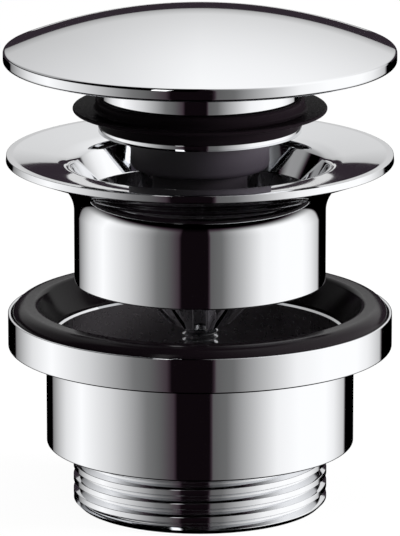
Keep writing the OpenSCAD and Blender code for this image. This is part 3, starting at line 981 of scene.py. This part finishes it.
# %% Finishes of the kept pieces
kept = {
    "plunger_sleeve": sleeve_plastic,
    "guide_post": post_plastic,
    "sleeve_bush": acetal,
    "wiper_ring": seal_rubber,
    "cap_washer": fibre,
    "plunger_rod": brass,
    "tie_nut": brass,
    "latch_ring": steel,
    "latch_pins": steel,
    "latch_clip": steel,
    "post_lock_ring": steel,
    "tie_washer": steel,
}
for name, material in kept.items():
    for slot in nodes[name].material_slots:
        slot.material = material
print("kept", len(kept), "pieces with new finishes")

# %% [markdown]
# Chrome only looks like chrome when the room gives it something to show. The studio here is a dark
# room with one tall soft panel at each side, a black gap in front where the camera stands, and a pale
# ceiling over the back half. It is painted on the world by direction, for mirror rays alone: the
# camera sees plain white, and matt surfaces get an even fill.

# %% Studio world
PANEL_LIGHT = 1.25
FILL_LIGHT = 0.6
PANEL_TOP = 0.05
PANEL_BLUR = 0.03
FOOT_DARK = math.sin(math.radians(-48))
FOOT_LIT = math.sin(math.radians(-30))
# Only the left panel has a top, so at the right it is out of reach
NO_TOP = 2.0
SIDE_BLUR = 0.05
HORIZON = 0.12
HORIZON_RISE = 0.2
HORIZON_BLUR = 0.025
CEILING_FADE = 0.2
DARK_TINT = (1.0, 0.6, 0.85, 1)
TINT_END = 0.15
WHITE = (1, 1, 1, 1)
MATHS = "ShaderNodeMath"
TIMES = {"operation": "MULTIPLY"}
MINUS = {"operation": "SUBTRACT"}
RANGE = "ShaderNodeMapRange"
SOFT_STEP = {"interpolation_type": "SMOOTHSTEP"}
# Direction in degrees round the object from the camera's side, and how bright the panels are there
LEFT_EDGE = ((-146, 0), (-144.5, 0.2))
LEFT_PANEL = ((-120, 0.73), (-100, 0.965), (-70, 0.63), (-40, 0.168), (-19, 0.045))
GAP = ((-17.5, 0.004), (8, 0.004))
RIGHT_PANEL = ((9.5, 0.1), (20, 0.14), (40, 0.48), (60, 0.87), (80, 0.97), (108, 0.97), (120, 0.84))
RIGHT_EDGE = ((137, 0.5), (140, 0))
PANELS = (*LEFT_EDGE, *LEFT_PANEL, *GAP, *RIGHT_PANEL, *RIGHT_EDGE)
# Height of a direction, and how bright the ceiling is there
CEILING = ((0.12, 0.33), (0.24, 0.61), (0.4, 0.69), (0.56, 0.78), (0.69, 0.86), (0.81, 0.92))
# Direction sideways, from left to right, and the ceiling's share of light there
CEILING_SIDES = ((-0.9, 0.42), (-0.6, 0.5), (-0.42, 0.75), (-0.17, 0.83), (0, 1), (0.3, 1))

world = bpy.data.worlds.new("studio")
bpy.context.scene.world = world
world.use_nodes = True
world.cycles.sampling_method = "NONE"
tree = world.node_tree
tree.nodes.clear()


def levels(value, low, high, stops):
    """A chain of straight ramps of the world between the levels in stops."""
    share = add(tree, RANGE, inputs={0: value, 1: low, 2: high})
    chain = [((where - low) / (high - low), light) for where, light in stops]
    ramp = add(tree, "ShaderNodeValToRGB", inputs={0: share.outputs["Result"]}, stops=chain)
    return ramp.outputs["Color"]


away = add(tree, "ShaderNodeTexCoord").outputs["Generated"]
x, y, z = add(tree, "ShaderNodeSeparateXYZ", inputs={0: away}).outputs
front = add(tree, MATHS, TIMES, {0: y, 1: -1.0}).outputs[0]
bearing = add(tree, MATHS, {"operation": "ARCTAN2"}, {0: x, 1: front}).outputs[0]
angle = add(tree, MATHS, TIMES, {0: bearing, 1: 180 / math.pi}).outputs[0]

top_steps = {0: x, 1: -SIDE_BLUR, 2: SIDE_BLUR, 3: PANEL_TOP, 4: NO_TOP}
panel_top = add(tree, RANGE, SOFT_STEP, top_steps).outputs[0]
under_top = add(tree, MATHS, MINUS, {0: panel_top, 1: z}).outputs[0]
panel_height = add(tree, RANGE, SOFT_STEP, {0: under_top, 1: -PANEL_BLUR, 2: PANEL_BLUR}).outputs[0]
panel_foot = add(tree, RANGE, SOFT_STEP, {0: z, 1: FOOT_DARK, 2: FOOT_LIT}).outputs[0]
panel_span = add(tree, MATHS, TIMES, {0: panel_height, 1: panel_foot}).outputs[0]
panels = levels(angle, -180, 180, PANELS)
low_room = add(tree, MATHS, TIMES, {0: panels, 1: panel_span}).outputs[0]

left = add(tree, MATHS, {"operation": "MINIMUM"}, {0: x, 1: 0.0}).outputs[0]
left_square = add(tree, MATHS, TIMES, {0: left, 1: left}).outputs[0]
rise = add(tree, MATHS, TIMES, {0: left_square, 1: HORIZON_RISE}).outputs[0]
horizon = add(tree, MATHS, {"operation": "ADD"}, {0: rise, 1: HORIZON}).outputs[0]
above = add(tree, MATHS, MINUS, {0: z, 1: horizon}).outputs[0]
over_horizon = add(tree, RANGE, SOFT_STEP, {0: above, 1: -HORIZON_BLUR, 2: HORIZON_BLUR}).outputs[0]
back_half = add(tree, RANGE, SOFT_STEP, {0: y, 1: 0.0, 2: CEILING_FADE}).outputs[0]
ceiling_span = add(tree, MATHS, TIMES, {0: over_horizon, 1: back_half}).outputs[0]
by_height = levels(z, 0, 1, CEILING)
by_side = levels(x, -1, 1, CEILING_SIDES)
ceiling = add(tree, MATHS, TIMES, {0: by_height, 1: by_side}).outputs[0]
upper_room = add(tree, MATHS, TIMES, {0: ceiling, 1: ceiling_span}).outputs[0]

room = add(tree, MATHS, {"operation": "MAXIMUM"}, {0: low_room, 1: upper_room}).outputs[0]
mirror_light = add(tree, MATHS, TIMES, {0: room, 1: PANEL_LIGHT}).outputs[0]
rays = add(tree, "ShaderNodeLightPath")
matt_or_mirror = add(
    tree,
    "ShaderNodeMix",
    {"data_type": "FLOAT"},
    {0: rays.outputs["Is Glossy Ray"], 2: FILL_LIGHT, 3: mirror_light},
)
shown = add(
    tree,
    "ShaderNodeMix",
    {"data_type": "FLOAT"},
    {0: rays.outputs["Is Camera Ray"], 2: matt_or_mirror.outputs[0], 3: 1.0},
)
lightness = add(tree, RANGE, SOFT_STEP, {0: shown.outputs[0], 1: 0.0, 2: TINT_END}).outputs[0]
tint = add(
    tree,
    "ShaderNodeMix",
    {"data_type": "RGBA"},
    {0: lightness, 6: DARK_TINT, 7: WHITE},
)
light = add(
    tree, "ShaderNodeBackground", inputs={"Color": tint.outputs[2], "Strength": shown.outputs[0]}
)
add(tree, "ShaderNodeOutputWorld", inputs={"Surface": light.outputs[0]})
print("world", world.name, len(tree.nodes), "nodes")

# %% [markdown]
# Three things stand so near that their place matters as well as their direction: a dark low screen
# behind the object, which the flange mirrors as two dark patches, a thin pale strip before it, which
# draws light lines round the funnel, and a narrow strip lamp at the left of the camera, which leaves a
# small glint on every round edge. Only mirror rays see them.

# %% Screen and strips
PLUM = (1, 0.75, 1, 1)
UPRIGHT = (math.pi / 2, 0, 0)
SCREEN_SIZE = (0.7, 0.13)
SCREEN_PLACE = (0, 0.45, 0.073)
SCREEN_GLOW = 0.032
PALE_SIZE = (0.07, 0.005)
PALE_PLACE = (0, 0.12, 0.067)
PALE_GLOW = 0.75
STRIP_SIZE = (0.09, 0.34)
STRIP_GLOW = 2.0
STRIP_AWAY = 0.6
STRIP_SIDE = math.radians(-23)
STRIP_RISE = math.radians(29)


def mirror_card(name, size, location, rotation, glow, shade=WHITE):
    """A glowing card that only mirrors show."""
    bpy.ops.object.select_all(action="DESELECT")
    bpy.ops.mesh.primitive_plane_add(size=1, location=location, rotation=rotation)
    card = bpy.context.object
    card.name = name
    card.scale = (*size, 1)
    card.visible_camera = False
    card.visible_diffuse = False
    card.visible_shadow = False
    made = bpy.data.materials.new(name)
    made.use_nodes = True
    made.node_tree.nodes.clear()
    light = add(made.node_tree, "ShaderNodeEmission", inputs={"Color": shade, "Strength": glow})
    add(made.node_tree, "ShaderNodeOutputMaterial", inputs={"Surface": light.outputs[0]})
    made.cycles.emission_sampling = "NONE"
    card.data.materials.append(made)
    print("card", name, size, "m")


mirror_card("dark screen", SCREEN_SIZE, SCREEN_PLACE, UPRIGHT, SCREEN_GLOW, PLUM)
mirror_card("pale strip", PALE_SIZE, PALE_PLACE, UPRIGHT, PALE_GLOW)
strip_place = (
    STRIP_AWAY * math.sin(STRIP_SIDE) * math.cos(STRIP_RISE),
    -STRIP_AWAY * math.cos(STRIP_SIDE) * math.cos(STRIP_RISE),
    STRIP_AWAY * math.sin(STRIP_RISE),
)
strip_turn = (math.pi / 2 - STRIP_RISE, 0, STRIP_SIDE)
mirror_card("strip lamp", STRIP_SIZE, strip_place, strip_turn, STRIP_GLOW)

# %% [markdown]
# The floor is plain white. Part of its white is its own for the camera, so that it runs into the
# background, and the rest is lit, so that it keeps the object's soft shadow. Mirror rays pass it by,
# because the panels also stand below the table's edge. Two lamps light what is matt: a large one from
# above, and a smaller one at the right that models the sleeve and the post.

# %% Floor and lamps
FLOOR_SIZE = 6.0
FLOOR_DROP = 0.02
OWN_WHITE = 0.93
TOP_POWER = 9
SOFT_PLACE = (-0.5, -0.5, 1.1)
SIDE_POWER = 15
SIDE_PLACE = (0.62, -0.08, 0.12)

bpy.ops.object.select_all(action="DESELECT")
bpy.ops.mesh.primitive_plane_add(size=FLOOR_SIZE, location=(0, 0, -FLOOR_DROP * MM))
floor = bpy.context.object
floor.name = "floor"
floor.visible_glossy = False
paper = bpy.data.materials.new("white paper")
paper.use_nodes = True
tree = paper.node_tree
tree.nodes.clear()
lit = add(tree, "ShaderNodeBsdfDiffuse", inputs={"Color": colour("#F4F4F4")})
own = add(tree, "ShaderNodeEmission", inputs={"Strength": 1.0})
seen = add(
    tree,
    "ShaderNodeMath",
    {"operation": "MULTIPLY"},
    {0: add(tree, "ShaderNodeLightPath").outputs["Is Camera Ray"], 1: OWN_WHITE},
)
mixed = add(
    tree, "ShaderNodeMixShader", inputs={0: seen.outputs[0], 1: lit.outputs[0], 2: own.outputs[0]}
)
add(tree, "ShaderNodeOutputMaterial", inputs={"Surface": mixed.outputs[0]})
floor.data.materials.append(paper)


def area_lamp(name, location, tilt, swing, size, power):
    """A square lamp that mirrors don't show, turned by two angles in degrees."""
    bpy.ops.object.light_add(type="AREA", location=location)
    lamp = bpy.context.object
    lamp.name = name
    lamp.data.size = size
    lamp.data.energy = power
    lamp.rotation_euler = (math.radians(tilt), 0, math.radians(swing))
    lamp.visible_glossy = False


area_lamp("soft lamp", SOFT_PLACE, tilt=33, swing=-45, size=0.9, power=TOP_POWER)
area_lamp("side lamp", SIDE_PLACE, tilt=85, swing=83, size=0.3, power=SIDE_POWER)
print("floor", FLOOR_SIZE, "m, lamps", TOP_POWER, "and", SIDE_POWER, "W")

# %% [markdown]
# The camera stands almost a metre away with a long lens and looks down a little, which is why the
# rims show as slim ellipses.

# %% Camera
CAMERA_BACK = 0.850
CAMERA_HEIGHT = 0.2486
CAMERA_DOWN = 13.82
LENS = 357.8
SENSOR = 36

bpy.ops.object.camera_add(
    location=(0, -CAMERA_BACK, CAMERA_HEIGHT), rotation=(math.radians(90 - CAMERA_DOWN), 0, 0)
)
camera = bpy.context.object
camera.data.lens = LENS
camera.data.sensor_width = SENSOR
camera.data.sensor_fit = "AUTO"
bpy.context.scene.camera = camera
bpy.context.scene.view_settings.view_transform = "Standard"
